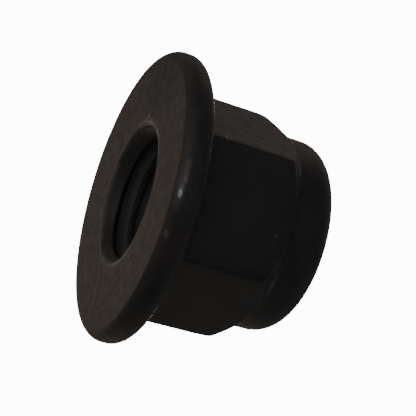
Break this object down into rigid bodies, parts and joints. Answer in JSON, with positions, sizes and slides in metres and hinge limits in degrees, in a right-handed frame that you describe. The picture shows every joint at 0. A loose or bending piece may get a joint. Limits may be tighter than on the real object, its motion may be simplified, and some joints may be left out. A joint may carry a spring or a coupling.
{
  "type": "flange lock nut",
  "caption": "Hexagon flange nut with a plain bearing face and a rolled collar that holds a nylon locking ring.",
  "frame": {"origin": "centre of the flat bearing face, on the thread's axis", "axes": "+Z along the thread's axis, from the bearing face to the rolled collar; two flats of the hexagon face -Y and +Y"},
  "size_m": [0.0256, 0.0256, 0.0161],
  "materials": {
    "dark_steel": "satin",
    "nylon": "satin"
  },
  "bodies": {
    "root": {"nut_body": "dark_steel", "nylon_ring": "nylon"}
  },
  "joints": []
}
